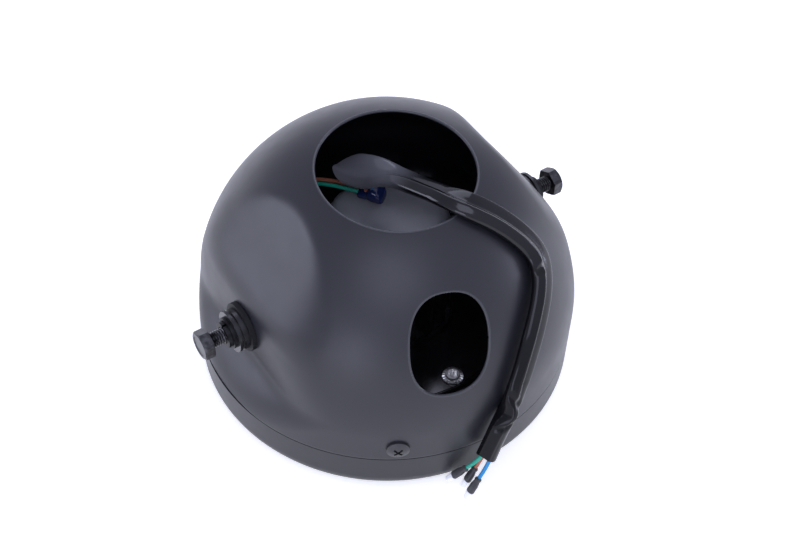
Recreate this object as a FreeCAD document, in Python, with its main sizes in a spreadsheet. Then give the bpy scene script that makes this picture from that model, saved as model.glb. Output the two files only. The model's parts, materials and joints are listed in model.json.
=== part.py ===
import FreeCAD, Part

import math
import os

import Sketcher
from FreeCAD import Placement, Rotation, Vector

# A round motorcycle headlight lying on its front rim, in millimetres.
# +Z is the back of the lamp, the side bolts lie along X, and -Y is six o'clock on the motorcycle.

# Driving dimensions: lengths in millimetres, angles in degrees
SIZES = {
    # Bucket shell: a spherical back on a short round skirt
    "shell_radius": 95.0,
    "shell_wall": 1.5,
    "dome_centre": 41.0,
    "seam_height": 24.0,
    "seam_gap": 0.5,
    "rear_hole_radius": 38.5,
    "rear_hole_shift": 5.0,
    "oval_length": 50.0,
    "oval_width": 39.0,
    "oval_azimuth": 13.1,
    "oval_elevation": 30.0,
    "oval_lean": 7.6,
    # Side flats pressed into the shell round the mounting bolts
    "seat_depth": 14.0,
    "seat_bottom": 44.5,
    "seat_top": 80.0,
    "upper_tilt": 36.4,
    "lower_tilt": 45.0,
    "upper_blend": 18.0,
    "lower_blend": 8.0,
    "ridge_blend": 5.0,
    # Mounting bolts and the stack of rings on each
    "bolt_height": 61.2,
    "bolt_radius": 4.0,
    "bolt_length": 30.0,
    "bolt_flats": 13.0,
    "bolt_head_height": 5.3,
    "bolt_play": 0.3,
    "thread_play": 0.1,
    "rubber_radius": 12.5,
    "rubber_thickness": 2.5,
    "collar_radius": 10.5,
    "collar_thickness": 5.4,
    "collar_groove": 1.2,
    "washer_radius": 8.0,
    "washer_thickness": 1.6,
    "spring_radius": 6.6,
    "spring_thickness": 2.1,
    "spring_split": 1.2,
    "ear_room": 7.4,
    "nut_height": 6.5,
    # Trim ring round the lens
    "ring_nose": 9.0,
    "ring_wall": 2.0,
    "lip_width": 8.5,
    "spigot_wall": 2.0,
    "spigot_top": 27.0,
    "fit_play": 0.3,
    "trim_screw_angle": 29.7,
    "trim_screw_rise": 9.3,
    "trim_screw_radius": 2.5,
    "trim_screw_length": 12.0,
    "trim_head_radius": 5.6,
    "trim_head_height": 2.6,
    "ear_angle": 16.0,
    "ear_top": 40.0,
    "square_nut_width": 10.0,
    "square_nut_thickness": 3.2,
    # Lamp unit: seal, lens, reflector, diodes, heat sink and housing
    "seal_thickness": 1.5,
    "seal_width": 4.5,
    "lens_play": 3.5,
    "lens_thickness": 3.0,
    "lens_bulge": 2.7,
    "window_margin": 1.0,
    "flange_thickness": 2.5,
    "housing_wall": 2.0,
    "shoulder_step": 5.5,
    "housing_play": 2.0,
    "housing_floor": 29.0,
    "column_hole": 34.0,
    "reflector_front": 9.5,
    "reflector_back": 24.0,
    "reflector_radius": 72.0,
    "cup_circle": 46.0,
    "cup_mouth": 19.0,
    "cup_throat": 7.0,
    "cup_count": 6,
    "board_thickness": 1.6,
    "diode_width": 6.0,
    "diode_height": 1.2,
    "column_radius": 22.0,
    "fin_radius": 33.0,
    "fin_thickness": 2.0,
    "fin_plates": 9,
    "column_top": 84.0,
    "driver_bore": 18.0,
    "driver_ledge": 2.0,
    "driver_depth": 14.0,
    "driver_pocket": 8.0,
    "cover_radius": 31.0,
    "cover_thickness": 8.0,
    "cover_round": 7.5,
    "unit_screw_circle": 60.0,
    "unit_screw_radius": 2.0,
    "unit_screw_length": 14.0,
    "unit_head_radius": 5.4,
    "unit_head_height": 2.4,
    "unit_screw_count": 3,
    "recess_length": 5.6,
    "recess_width": 1.1,
    "recess_depth": 1.5,
    "clip_thickness": 1.0,
    "clip_width": 12.0,
    "clip_reach": 6.0,
    "clip_count": 4,
    # Wiring: grommet, loose sleeve, thin wires and their push-on terminals
    "grommet_length": 12.0,
    "grommet_width": 9.0,
    "grommet_height": 5.0,
    "grommet_round": 2.0,
    "grommet_offset": 15.0,
    "grommet_turn": 126.9,
    "sleeve_radius": 5.5,
    "sleeve_wall": 1.6,
    "mouth_slant": 24.0,
    "wire_radius": 1.0,
    "boot_radius": 2.0,
    "boot_length": 8.5,
    "terminal_radius": 1.8,
    "terminal_length": 4.0,
}

# Routes of the loose wiring, chosen point by point: two leads go from the grommet's end down to the lamp
# unit, three wires rise from its top into the sleeve's open end, and the sleeve hangs out of the rear hole
SLEEVE_ROUTE = [
    (-8.1, 29.3, 104.0), (-2.9, 18.4, 107.0), (1.0, 7.0, 110.8), (3.6, -5.5, 116.6), (6.6, -19.5, 123.9),
    (9.3, -34.5, 133.2), (15.5, -44.3, 132.0), (25.4, -51.7, 125.1), (34.7, -59.5, 116.1),
    (41.2, -65.5, 107.1), (41.9, -70.9, 101.3), (38.3, -76.6, 96.0), (32.6, -82.5, 90.9),
    (25.0, -88.8, 84.0), (18.0, -94.0, 75.6), (9.5, -99.1, 60.5), (0.5, -101.6, 45.0),
    (-4.9, -102.0, 32.5), (-8.8, -102.1, 21.0),
]
INNER_ROUTES = {
    "lead_brown": [
        (-2.41, 20.72, 94.4), (-8.30, 28.55, 94.6), (-14.2, 36.8, 92.6), (-19.5, 45.5, 88.2),
        (-23.5, 51.5, 79.5), (-25.2, 53.0, 68.5), (-24.4, 50.4, 56.0), (-22.9, 47.6, 43.5),
        (-22.2, 46.2, 31.2),
    ],
    "lead_green": [
        (-4.81, 18.91, 94.4), (-10.88, 26.99, 94.4), (-17.4, 36.2, 92.0), (-23.2, 45.0, 87.4),
        (-27.6, 50.8, 78.6), (-29.3, 52.2, 67.5), (-28.3, 49.6, 55.4), (-26.8, 46.9, 43.3),
        (-26.2, 45.6, 31.2),
    ],
    "wire_brown": [(-3.0, 15.7, 97.0), (-3.0, 15.7, 108.5), (0.84, 2.87, 113.4), (2.9, -7.1, 118.05)],
    "wire_green": [(-0.7, 16.6, 97.0), (-0.7, 16.6, 108.4), (3.3, 3.4, 113.4), (5.4, -6.6, 118.05)],
    "wire_blue": [(-1.15, 13.6, 97.0), (-1.15, 13.6, 107.0), (2.0, 1.6, 111.6), (4.2, -8.9, 116.5)],
}
TAIL_ROUTES = {
    "tail_green": [
        (-2.0, -100.7, 44.0), (-7.1, -101.1, 32.5), (-11.4, -101.1, 19.6), (-17.3, -98.4, 13.9),
    ],
    "tail_brown": [
        (0.8, -99.3, 44.0), (-4.3, -99.7, 32.5), (-8.4, -99.8, 20.0), (-13.3, -100.1, 13.0),
    ],
    "tail_blue": [
        (1.8, -103.4, 44.0), (-3.3, -103.8, 32.5), (-7.1, -103.9, 21.5), (-10.6, -104.4, 15.4),
        (-14.6, -105.1, 11.2),
    ],
}


class Size:
    """A number together with the sheet expression that gives it."""

    def __init__(self, value, text):
        self.value = value
        self.text = text

    def _join(self, sign, other, value):
        return Size(value, "(%s %s %s)" % (self.text, sign, as_size(other).text))

    def __add__(self, other):
        return self._join("+", other, self.value + as_size(other).value)

    def __sub__(self, other):
        return self._join("-", other, self.value - as_size(other).value)

    def __mul__(self, other):
        return self._join("*", other, self.value * as_size(other).value)

    def __truediv__(self, other):
        return self._join("/", other, self.value / as_size(other).value)

    def __neg__(self):
        return Size(-self.value, "(0 - %s)" % self.text)


def as_size(number):
    """Wrap a plain number so that it can stand beside named sizes."""
    return number if isinstance(number, Size) else Size(number, repr(number))


def sine(angle):
    return Size(math.sin(math.radians(angle.value)), "sin(%s * 1 deg)" % angle.text)


def cosine(angle):
    return Size(math.cos(math.radians(angle.value)), "cos(%s * 1 deg)" % angle.text)


def half_tangent(angle):
    return Size(math.tan(math.radians(angle.value) / 2), "tan(%s * 0.5 deg)" % angle.text)


def root(square):
    return Size(math.sqrt(square.value), "sqrt(%s)" % square.text)


doc = FreeCAD.newDocument("headlight")
sheet = doc.addObject("Spreadsheet::Sheet", "Sizes")
S = {}
for row, (alias, number) in enumerate(SIZES.items(), start=1):
    sheet.set("A%d" % row, alias)
    sheet.set("B%d" % row, str(number))
    sheet.setAlias("B%d" % row, alias)
    S[alias] = Size(number, "Sizes." + alias)
doc.recompute()

nodes = {}


def keep(name, piece):
    """Name a finished piece and list it for export."""
    piece.Label = name
    nodes[name] = piece
    return piece


def bind(item, **sizes):
    """Tie properties of an object to the sheet; a double underscore stands for a dot."""
    for prop, size in sizes.items():
        item.setExpression(prop.replace("__", "."), as_size(size).text)
    return item


def solid(kind, **sizes):
    return bind(doc.addObject("Part::" + kind, kind), **sizes)


def cylinder(radius, height, lift=None):
    bar = solid("Cylinder", Radius=radius, Height=height)
    return bar if lift is None else bind(bar, Placement__Base__z=lift)


def cut(base, *tools):
    """The base less every tool."""
    for tool in tools:
        result = doc.addObject("Part::Cut", "Cut")
        result.Base = base
        result.Tool = tool
        base = result
    return base


def join(*pieces):
    result = doc.addObject("Part::MultiFuse", "Join")
    result.Shapes = list(pieces)
    return result


def group(pieces):
    members = list(pieces)
    result = doc.addObject("Part::Compound", "Group")
    result.Links = members
    return result


def place(item, position, rotation=Rotation()):
    item.Placement = Placement(position, rotation)
    return item


def around(count, first=-90.0):
    """Equal angles round the lamp, starting at six o'clock."""
    return [first + 360.0 * index / count for index in range(count)]


def polar(radius, degrees, height):
    return Vector(radius * math.cos(math.radians(degrees)), radius * math.sin(math.radians(degrees)), height)


def new_body(name):
    return doc.addObject("PartDesign::Body", name)


def origin_plane(body, role):
    return [item for item in body.Origin.OriginFeatures if item.Role == role][0]


def profile(body, name, corners, arcs=None, plane="XZ_Plane"):
    """A closed upright sketch through corners; arcs gives (radius, side) of its curved stretches.

    Side +1 bulges to the left of the way from one corner to the next and -1 to the right.
    """
    arcs = arcs or {}
    sketch = body.newObject("Sketcher::SketchObject", name)
    sketch.AttachmentSupport = [(origin_plane(body, plane), "")]
    sketch.MapMode = "FlatFace"
    points = [Vector(as_size(x).value, as_size(z).value, 0) for x, z in corners]
    ends = []
    for index, start in enumerate(points):
        end = points[(index + 1) % len(points)]
        if index not in arcs:
            sketch.addGeometry(Part.LineSegment(start, end))
            ends.append((1, 2))
            continue
        radius, side = as_size(arcs[index][0]).value, arcs[index][1]
        chord = end - start
        left = Vector(-chord.y, chord.x, 0).normalize()
        rise = math.sqrt(max(radius * radius - chord.Length * chord.Length / 4, 0.0))
        centre = (start + end) * 0.5 - left * side * rise
        first, last = (end, start) if side > 0 else (start, end)
        angles = [math.atan2(point.y - centre.y, point.x - centre.x) for point in (first, last)]
        sketch.addGeometry(Part.ArcOfCircle(Part.Circle(centre, Vector(0, 0, 1), radius), *angles))
        ends.append((2, 1) if side > 0 else (1, 2))
    for index, (x, z) in enumerate(corners):
        after = (index + 1) % len(corners)
        sketch.addConstraint(Sketcher.Constraint("Coincident", index, ends[index][1], after, ends[after][0]))
        for kind, axis, size in (("DistanceX", -2, x), ("DistanceY", -1, z)):
            size = as_size(size)
            if size.text == "0":
                sketch.addConstraint(Sketcher.Constraint("PointOnObject", index, ends[index][0], axis))
                continue
            rule = Sketcher.Constraint(kind, -1, 1, index, ends[index][0], size.value)
            number = sketch.addConstraint(rule)
            sketch.setExpression("Constraints[%d]" % number, size.text)
        if index in arcs:
            radius = as_size(arcs[index][0])
            number = sketch.addConstraint(Sketcher.Constraint("Radius", index, radius.value))
            sketch.setExpression("Constraints[%d]" % number, radius.text)
    sketch.Visibility = False
    return sketch


def turned(name, corners, arcs=None, plane="XZ_Plane"):
    """A body made by turning a profile once round the lamp's axis."""
    body = new_body(name)
    sketch = profile(body, name + "_outline", corners, arcs, plane)
    turn = body.newObject("PartDesign::Revolution", name + "_turn")
    turn.Profile = sketch
    turn.ReferenceAxis = (sketch, ["V_Axis"])
    turn.Angle = 360.0
    return body


# Sizes worked out from the driving ones
shell_bottom = S["seam_height"] + S["seam_gap"]
shell_inside = S["shell_radius"] - S["shell_wall"]
spigot_outside = shell_inside - S["fit_play"]
spigot_inside = spigot_outside - S["spigot_wall"]
lens_seat = S["ring_wall"] + S["seal_thickness"]
seat_distance = S["shell_radius"] - S["seat_depth"]
lens_radius = S["shell_radius"] - S["ring_wall"] - S["lens_play"]
ring_lip = lens_radius - S["lip_width"]
housing_shoulder = lens_radius - S["shoulder_step"]
housing_back = S["reflector_radius"] + S["housing_play"] + S["housing_wall"]
lens_back = lens_seat + S["lens_thickness"]
flange_back = lens_back + S["flange_thickness"]
floor_top = S["housing_floor"] + S["housing_wall"]
board_back = S["reflector_back"] + S["board_thickness"]
cover_top = S["column_top"] + S["cover_thickness"]
screw_turn = -90.0 - SIZES["trim_screw_angle"]
trim_screw_height = SIZES["seam_height"] + SIZES["trim_screw_rise"]


def meets(shape, edge):
    """What an edge of the bucket's form lies between: the round of the shell, a side flat, or both."""
    kinds = []
    for face in shape.ancestorsOfType(edge, Part.Face):
        surface = face.Surface
        if isinstance(surface, Part.Plane) and abs(surface.Axis.x) > 0.1:
            kinds.append("flat")
        elif isinstance(surface, Part.Cylinder) and abs(surface.Axis.y) > 0.5:
            kinds.append("flat")
        elif isinstance(surface, (Part.Sphere, Part.Cylinder)):
            kinds.append("round")
    return sorted(kinds)


def blend(body, name, wanted, radius, lowest, highest):
    """Round the edges of the body's last feature between the wanted kinds of face and the two heights."""
    doc.recompute()
    base = body.Tip
    edges = []
    for number, edge in enumerate(base.Shape.Edges, start=1):
        if lowest < edge.CenterOfMass.z < highest and meets(base.Shape, edge) == wanted:
            edges.append("Edge%d" % number)
    fillet = body.newObject("PartDesign::Fillet", name)
    fillet.Base = (base, edges)
    bind(fillet, Radius=radius)
    body.Tip = fillet


def bucket_form(name, skin, bottom):
    """The bucket's solid form, set in by skin: a skirt, a spherical back and two blended side flats."""
    radius = S["shell_radius"] - skin
    body = turned(
        name,
        [(0, bottom), (radius, bottom), (radius, S["dome_centre"]), (0, S["dome_centre"] + radius)],
        {2: (radius, -1)},
        "YZ_Plane",
    )
    seat = seat_distance - skin
    top = S["seat_top"] - skin * half_tangent(S["upper_tilt"])
    low = S["seat_bottom"] + skin * half_tangent(S["lower_tilt"])
    reach = S["shell_radius"]
    far = seat + reach
    top_end = top + reach * cosine(S["upper_tilt"])
    low_end = low - reach * cosine(S["lower_tilt"])
    flat = profile(body, name + "_side_flat", [
        (seat, low), (seat, top), (seat - reach * sine(S["upper_tilt"]), top_end), (far, top_end),
        (far, low_end), (seat + reach * sine(S["lower_tilt"]), low_end),
    ])
    pocket = body.newObject("PartDesign::Pocket", name + "_right_flat")
    pocket.Profile = flat
    pocket.Midplane = True
    bind(pocket, Length=S["shell_radius"] * 4)
    mirror = body.newObject("PartDesign::Mirrored", name + "_left_flat")
    mirror.Originals = [pocket]
    mirror.MirrorPlane = (origin_plane(body, "YZ_Plane"), [""])
    body.Tip = mirror
    middle, highest = SIZES["bolt_height"], SIZES["dome_centre"] + SIZES["shell_radius"]
    blend(body, name + "_upper_hollow", ["flat", "flat"], S["upper_blend"] + skin, middle, highest)
    blend(body, name + "_lower_hollow", ["flat", "flat"], S["lower_blend"] + skin, 0.0, middle)
    blend(body, name + "_ridges", ["flat", "round"], S["ridge_blend"] - skin, 0.0, highest)
    return body


def oval_tool():
    """An elliptical bar that stands square to the shell where the oval hole is."""
    bearing = -90.0 - SIZES["oval_azimuth"]
    out = polar(1.0, bearing, math.tan(math.radians(SIZES["oval_elevation"]))).normalize()
    across = Vector(0, 0, 1).cross(out).normalize()
    upright = out.cross(across)
    lean = math.radians(SIZES["oval_lean"])
    long_way = upright * math.cos(lean) + across * math.sin(lean)
    outline = solid("Ellipse", MajorRadius=S["oval_length"] / 2, MinorRadius=S["oval_width"] / 2)
    start = Vector(0, 0, SIZES["dome_centre"]) + out * SIZES["shell_radius"] * 0.7
    place(outline, start, Rotation(long_way, out.cross(long_way), out, "ZXY"))
    bar = doc.addObject("Part::Extrusion", "oval_bar")
    bar.Base = outline
    bar.DirMode = "Custom"
    bar.Dir = out
    bar.Solid = True
    bind(bar, LengthFwd=S["shell_radius"] / 2)
    return bar


def across_x(radius):
    """A bar along X through both mounting points."""
    bar = cylinder(radius, S["shell_radius"] * 2)
    place(bar, Vector(-SIZES["shell_radius"], 0, SIZES["bolt_height"]), Rotation(Vector(0, 1, 0), 90))
    return bar


def across_screws(radius):
    """A bar through both trim screws, which face each other across the lamp."""
    bar = cylinder(radius, S["shell_radius"] * 2 + S["trim_head_height"] * 2)
    half = SIZES["shell_radius"] + SIZES["trim_head_height"]
    away = polar(1.0, screw_turn, 0.0)
    height = Vector(0, 0, trim_screw_height)
    place(bar, height - away * half, Rotation(Vector(0, 0, 1), away))
    return bar


# Bucket shell: an outer form less an inner one, with the holes for wiring, bolts and trim screws
outer_form = bucket_form("outer_form", as_size(0), shell_bottom)
inner_form = bucket_form("inner_form", S["shell_wall"], S["seam_height"] - S["spigot_wall"])
rear_bar = cylinder(S["rear_hole_radius"], S["shell_radius"] * 1.5, S["dome_centre"])
bind(rear_bar, Placement__Base__y=-S["rear_hole_shift"])
keep("bucket_shell", cut(
    outer_form, inner_form, rear_bar, oval_tool(), across_x(S["bolt_radius"] + S["bolt_play"]),
    across_screws(S["trim_screw_radius"] + S["bolt_play"]),
))


def trim_ring():
    """A rolled ring with a lip in front of the lens, a spigot inside the shell and two screw ears."""
    radius, nose, wall = S["shell_radius"], S["ring_nose"], S["ring_wall"]
    joggle = S["seam_height"] - S["spigot_wall"]
    rim = turned(
        "trim_rim",
        [
            (ring_lip, 0), (radius - nose, 0), (radius, nose), (radius, S["seam_height"]),
            (spigot_outside, S["seam_height"]), (spigot_outside, S["spigot_top"]),
            (spigot_inside, S["spigot_top"]), (spigot_inside, joggle),
            (radius - wall, joggle - S["spigot_wall"]), (radius - wall, nose), (radius - nose, wall),
            (ring_lip, wall),
        ],
        {1: (nose, -1), 9: (nose - wall, 1)},
    )
    ears = []
    for side in (0.0, 180.0):
        sector = cylinder(spigot_outside, S["ear_top"] - joggle)
        bind(sector, Angle=S["ear_angle"])
        ear = cut(sector, cylinder(spigot_inside, S["ear_top"]))
        turn = screw_turn + side - SIZES["ear_angle"] / 2
        ears.append(place(ear, Vector(0, 0, joggle.value), Rotation(Vector(0, 0, 1), turn)))
    return cut(join(rim, *ears), across_screws(S["trim_screw_radius"] + S["bolt_play"]))


keep("trim_ring", trim_ring())


def cross_recess(length, depth, top):
    """Two crossed bars for a screwdriver's cross, sunk below top."""
    bars = []
    for turn in (0.0, 90.0):
        bar = solid("Box", Length=length, Width=S["recess_width"], Height=depth * 2)
        middle = Vector(-length.value / 2, -SIZES["recess_width"] / 2, 0)
        bar.Placement = Placement(Vector(0, 0, top.value - depth.value), Rotation(Vector(0, 0, 1), turn))
        bar.Placement = bar.Placement.multiply(Placement(middle, Rotation()))
        bars.append(bar)
    return join(*bars)


def cross_screw(radius, length, head_radius, head_height):
    """A screw with a low domed head and a cross recess, its head's seat at zero and its tip below."""
    edge = head_height * 0.4
    rise = head_height - edge
    crown = (head_radius * head_radius + rise * rise) / (rise * 2)
    form = turned(
        "screw",
        [
            (0, -length), (radius, -length), (radius, 0), (head_radius, 0), (head_radius, edge),
            (0, head_height),
        ],
        {4: (crown, -1)},
    )
    return cut(form, cross_recess(S["recess_length"], S["recess_depth"], head_height))


# Trim screws through the shell's skirt, and the square nuts behind the ring's ears
trim_screws, square_nuts = [], []
nut_width, nut_thickness = S["square_nut_width"], S["square_nut_thickness"]
nut_half = nut_width / 2
nut_outer = root(spigot_inside * spigot_inside - nut_half * nut_half) - S["thread_play"]
for side in (0.0, 180.0):
    bearing = screw_turn + side
    away = polar(1.0, bearing, 0.0)
    upright = Vector(0, 0, 1)
    outward = Rotation(upright.cross(away), upright, away, "ZYX")
    screw = cross_screw(
        S["trim_screw_radius"], S["trim_screw_length"], S["trim_head_radius"], S["trim_head_height"])
    eighth = Rotation(upright, 45.0)
    spot = polar(SIZES["shell_radius"], bearing, trim_screw_height)
    trim_screws.append(place(screw, spot, outward.multiply(eighth)))
    block = solid("Box", Length=nut_width, Width=nut_width, Height=nut_thickness)
    block.Placement.Base = Vector(-nut_half.value, -nut_half.value, 0)
    nut = cut(block, cylinder(S["trim_screw_radius"] + S["thread_play"], nut_thickness))
    depth = nut_outer.value - nut_thickness.value
    square_nuts.append(place(nut, polar(depth, bearing, trim_screw_height), outward))
keep("trim_screws", group(trim_screws))
keep("trim_nuts", group(square_nuts))

# Mounting hardware on each side, stacked outwards from the flat seat
rubber_end = seat_distance + S["rubber_thickness"]
collar_end = rubber_end + S["collar_thickness"]
washer_end = collar_end + S["washer_thickness"]
spring_end = washer_end + S["spring_thickness"]
head_seat = spring_end + S["ear_room"]
nut_face = seat_distance - S["shell_wall"]
bolt_hole = S["bolt_radius"] + S["bolt_play"]


def ring(outside, inside, thickness, lift):
    return cut(cylinder(outside, thickness, lift), cylinder(inside, thickness, lift))


def hexagon(flats, height, lift):
    prism = solid("Prism", Circumradius=flats / math.sqrt(3), Height=height, Placement__Base__z=lift)
    prism.Polygon = 6
    return prism


def mount_bolt():
    """A hexagon bolt whose head corners are chamfered by a cone."""
    flats, height = S["bolt_flats"], S["bolt_head_height"]
    cone = solid("Cone", Radius1=flats / 2 + height * 0.6, Radius2=flats / 2, Height=height)
    bind(cone, Placement__Base__z=head_seat)
    head = doc.addObject("Part::Common", "bolt_head")
    head.Base = hexagon(flats, height, head_seat)
    head.Tool = cone
    return join(head, cylinder(S["bolt_radius"], S["bolt_length"], head_seat - S["bolt_length"]))


def collar():
    """A turned collar with a shallow groove round its middle."""
    lift = rubber_end
    middle = S["collar_thickness"] / 2
    body = ring(S["collar_radius"], bolt_hole, S["collar_thickness"], lift)
    groove = ring(S["collar_radius"] + S["collar_groove"], S["collar_radius"] - S["collar_groove"],
                  S["collar_groove"], lift + middle)
    return cut(body, groove)


def spring_washer():
    """A ring with one narrow split."""
    split = solid("Box", Length=S["spring_radius"] * 2, Width=S["spring_split"], Height=S["spring_thickness"],
                  Placement__Base__z=washer_end, Placement__Base__y=-S["spring_split"] / 2)
    return cut(ring(S["spring_radius"], bolt_hole, S["spring_thickness"], washer_end), split)


def weld_nut():
    start = nut_face - S["nut_height"]
    block = hexagon(S["bolt_flats"], S["nut_height"], start)
    return cut(block, cylinder(S["bolt_radius"] + S["thread_play"], S["nut_height"], start))


HARDWARE = {
    "mount_bolts": mount_bolt,
    "spring_washers": spring_washer,
    "flat_washers": lambda: ring(S["washer_radius"], bolt_hole, S["washer_thickness"], collar_end),
    "mount_collars": collar,
    "rubber_washers": lambda: ring(S["rubber_radius"], bolt_hole, S["rubber_thickness"], seat_distance),
    "weld_nuts": weld_nut,
}
bolt_middle = Vector(0, 0, SIZES["bolt_height"])
for name, make in HARDWARE.items():
    keep(name, group(place(make(), bolt_middle, Rotation(Vector(0, 1, 0), turn)) for turn in (90, -90)))

# Lens and its seal behind the ring's lip
keep("lens_seal", turned("lens_seal_ring", [
    (ring_lip, S["ring_wall"]), (ring_lip + S["seal_width"], S["ring_wall"]),
    (ring_lip + S["seal_width"], lens_seat), (ring_lip, lens_seat),
]))
window, bulge = ring_lip - S["window_margin"], S["lens_bulge"]
lens_curve = (window * window + bulge * bulge) / (bulge * 2)
keep("lens", turned(
    "lens_disc",
    [
        (0, lens_seat - bulge), (window, lens_seat), (lens_radius, lens_seat),
        (lens_radius, lens_back), (window, lens_back), (0, lens_back - bulge),
    ],
    {0: (lens_curve, -1), 4: (lens_curve, 1)},
))


def unit_holes(radius, start, height):
    """Bars for the lamp unit's screws, on their circle."""
    bars = []
    for bearing in around(SIZES["unit_screw_count"]):
        spot = polar(SIZES["unit_screw_circle"], bearing, start.value)
        bars.append(place(cylinder(radius, height), spot))
    return join(*bars)


# Housing of the lamp unit: a flange glued to the lens, a tapered wall and a floor with the column's hole
shoulder, back, wall = housing_shoulder, housing_back, S["housing_wall"]
housing = turned("housing_pan", [
    (shoulder - wall * 2, lens_back), (lens_radius, lens_back), (lens_radius, flange_back),
    (shoulder, flange_back), (back, floor_top), (S["column_hole"] + wall, floor_top),
    (S["column_hole"] + wall, floor_top + wall * 2), (S["column_hole"], floor_top + wall * 2),
    (S["column_hole"], S["housing_floor"]), (back - wall, S["housing_floor"]),
    (shoulder - wall * 2, flange_back),
])
screw_hole = S["unit_screw_radius"] + S["bolt_play"]
keep("unit_housing", cut(housing, unit_holes(screw_hole, S["housing_floor"], S["housing_wall"])))

# Reflector block with a ring of conical cups and one in the middle, over the diodes
reflector_depth = S["reflector_back"] - S["reflector_front"]
cup_spots = [polar(SIZES["cup_circle"], angle, 0.0) for angle in around(SIZES["cup_count"], -60.0)]
cup_spots.append(Vector(0, 0, 0))
cups, diodes = [], []
for spot in cup_spots:
    cup = solid("Cone", Radius1=S["cup_mouth"], Radius2=S["cup_throat"], Height=reflector_depth)
    cups.append(place(cup, spot + Vector(0, 0, SIZES["reflector_front"])))
    diode = solid("Box", Length=S["diode_width"], Width=S["diode_width"], Height=S["diode_height"])
    half = SIZES["diode_width"] / 2
    corner = Vector(-half, -half, SIZES["reflector_back"] - SIZES["diode_height"])
    diodes.append(place(diode, spot + corner))
reflector_block = cylinder(S["reflector_radius"], reflector_depth, S["reflector_front"])
screw_tip = floor_top - S["unit_screw_length"]
screw_bore = unit_holes(S["unit_screw_radius"] + S["thread_play"], screw_tip, S["reflector_back"] - screw_tip)
keep("reflector", cut(reflector_block, join(*cups), screw_bore))
keep("led_chips", group(diodes))
board = cylinder(S["reflector_radius"], S["board_thickness"], S["reflector_back"])
keep("led_board", cut(board, unit_holes(screw_hole, S["reflector_back"], S["board_thickness"])))


def heat_sink():
    """A finned column through the housing's floor, with a bore for the driver in its end."""
    foot, height = S["housing_floor"], S["column_top"] - S["housing_floor"]
    core = cylinder(S["column_radius"], height, foot)
    plates = []
    for index in range(SIZES["fin_plates"]):
        turn = Rotation(Vector(0, 0, 1), 180.0 * index / SIZES["fin_plates"])
        plate = solid("Box", Length=S["fin_radius"] * 2, Width=S["fin_thickness"], Height=height)
        corner = Vector(-SIZES["fin_radius"], -SIZES["fin_thickness"] / 2, foot.value)
        plate.Placement = Placement(Vector(), turn).multiply(Placement(corner, Rotation()))
        plates.append(plate)
    depth, pocket = S["driver_depth"], S["driver_pocket"]
    bore = cylinder(S["driver_bore"], depth, S["column_top"] - depth)
    below = cylinder(S["driver_bore"] - S["driver_ledge"], pocket, S["column_top"] - depth - pocket)
    return cut(join(core, *plates), join(bore, below))


# Heat sink: a plate behind the board inside the housing, and the column that stands on it
plate_height = S["housing_floor"] - board_back
sink_plate = cylinder(S["reflector_radius"], plate_height, board_back)
keep("sink_plate", cut(sink_plate, unit_holes(screw_hole, board_back, plate_height)))
keep("heat_sink", heat_sink())
driver_seat = S["column_top"] - S["driver_depth"]
keep("driver_board", cylinder(S["driver_bore"] - S["fit_play"], S["board_thickness"], driver_seat))

# Screws that hold the housing, heat sink and reflector together
unit_screws = []
for bearing in around(SIZES["unit_screw_count"]):
    screw = cross_screw(
        S["unit_screw_radius"], S["unit_screw_length"], S["unit_head_radius"], S["unit_head_height"])
    unit_screws.append(place(screw, polar(SIZES["unit_screw_circle"], bearing, floor_top.value)))
keep("unit_screws", group(unit_screws))

# Rounded cap over the end of the column
keep("rear_cover", turned(
    "rear_cap",
    [
        (0, S["column_top"]), (S["cover_radius"], S["column_top"]),
        (S["cover_radius"], cover_top - S["cover_round"]),
        (S["cover_radius"] - S["cover_round"], cover_top), (0, cover_top),
    ],
    {2: (S["cover_round"], -1)},
))


def unit_clip():
    """A bent strip that hooks over the ring's spigot and presses the lamp unit's flange to the lens."""
    thick, reach, half = S["clip_thickness"], S["clip_reach"], S["clip_width"] / 2
    face = root(spigot_inside * spigot_inside - half * half)
    hook = spigot_outside - S["fit_play"]
    leg = face - thick
    body = new_body("clip")
    strip = profile(body, "clip_outline", [
        (leg - reach, flange_back), (face, flange_back), (face, S["spigot_top"]),
        (hook, S["spigot_top"]), (hook, S["spigot_top"] + thick),
        (leg, S["spigot_top"] + thick), (leg, flange_back + thick), (leg - reach, flange_back + thick),
    ])
    pad = body.newObject("PartDesign::Pad", "clip_strip")
    pad.Profile = strip
    pad.Midplane = True
    bind(pad, Length=S["clip_width"])
    return body


clip_turns = [Rotation(Vector(0, 0, 1), turn) for turn in around(SIZES["clip_count"], -45.0)]
keep("unit_clips", group(place(unit_clip(), Vector(), turn) for turn in clip_turns))


def wire_grommet():
    """A rounded block on the rear cover, turned so that the wires leave its end face."""
    block = solid("Box", Length=S["grommet_length"], Width=S["grommet_width"], Height=S["grommet_height"])
    doc.recompute()
    soft = doc.addObject("Part::Fillet", "soft_block")
    soft.Base = block
    upper = []
    for number, edge in enumerate(block.Shape.Edges, start=1):
        lengthwise = abs(edge.tangentAt(edge.FirstParameter).x) > 0.9
        if lengthwise and edge.CenterOfMass.z > SIZES["grommet_height"] * 0.9:
            upper.append(number)
    soft.Edges = [(number, SIZES["grommet_round"], SIZES["grommet_round"]) for number in upper]
    turn = Rotation(Vector(0, 0, 1), SIZES["grommet_turn"])
    corner = Vector(-SIZES["grommet_length"] / 2, -SIZES["grommet_width"] / 2, 0)
    spot = Placement(Vector(0, SIZES["grommet_offset"], cover_top.value), turn)
    soft.Placement = spot.multiply(Placement(corner, Rotation()))
    return soft


keep("wire_grommet", wire_grommet())


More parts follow.
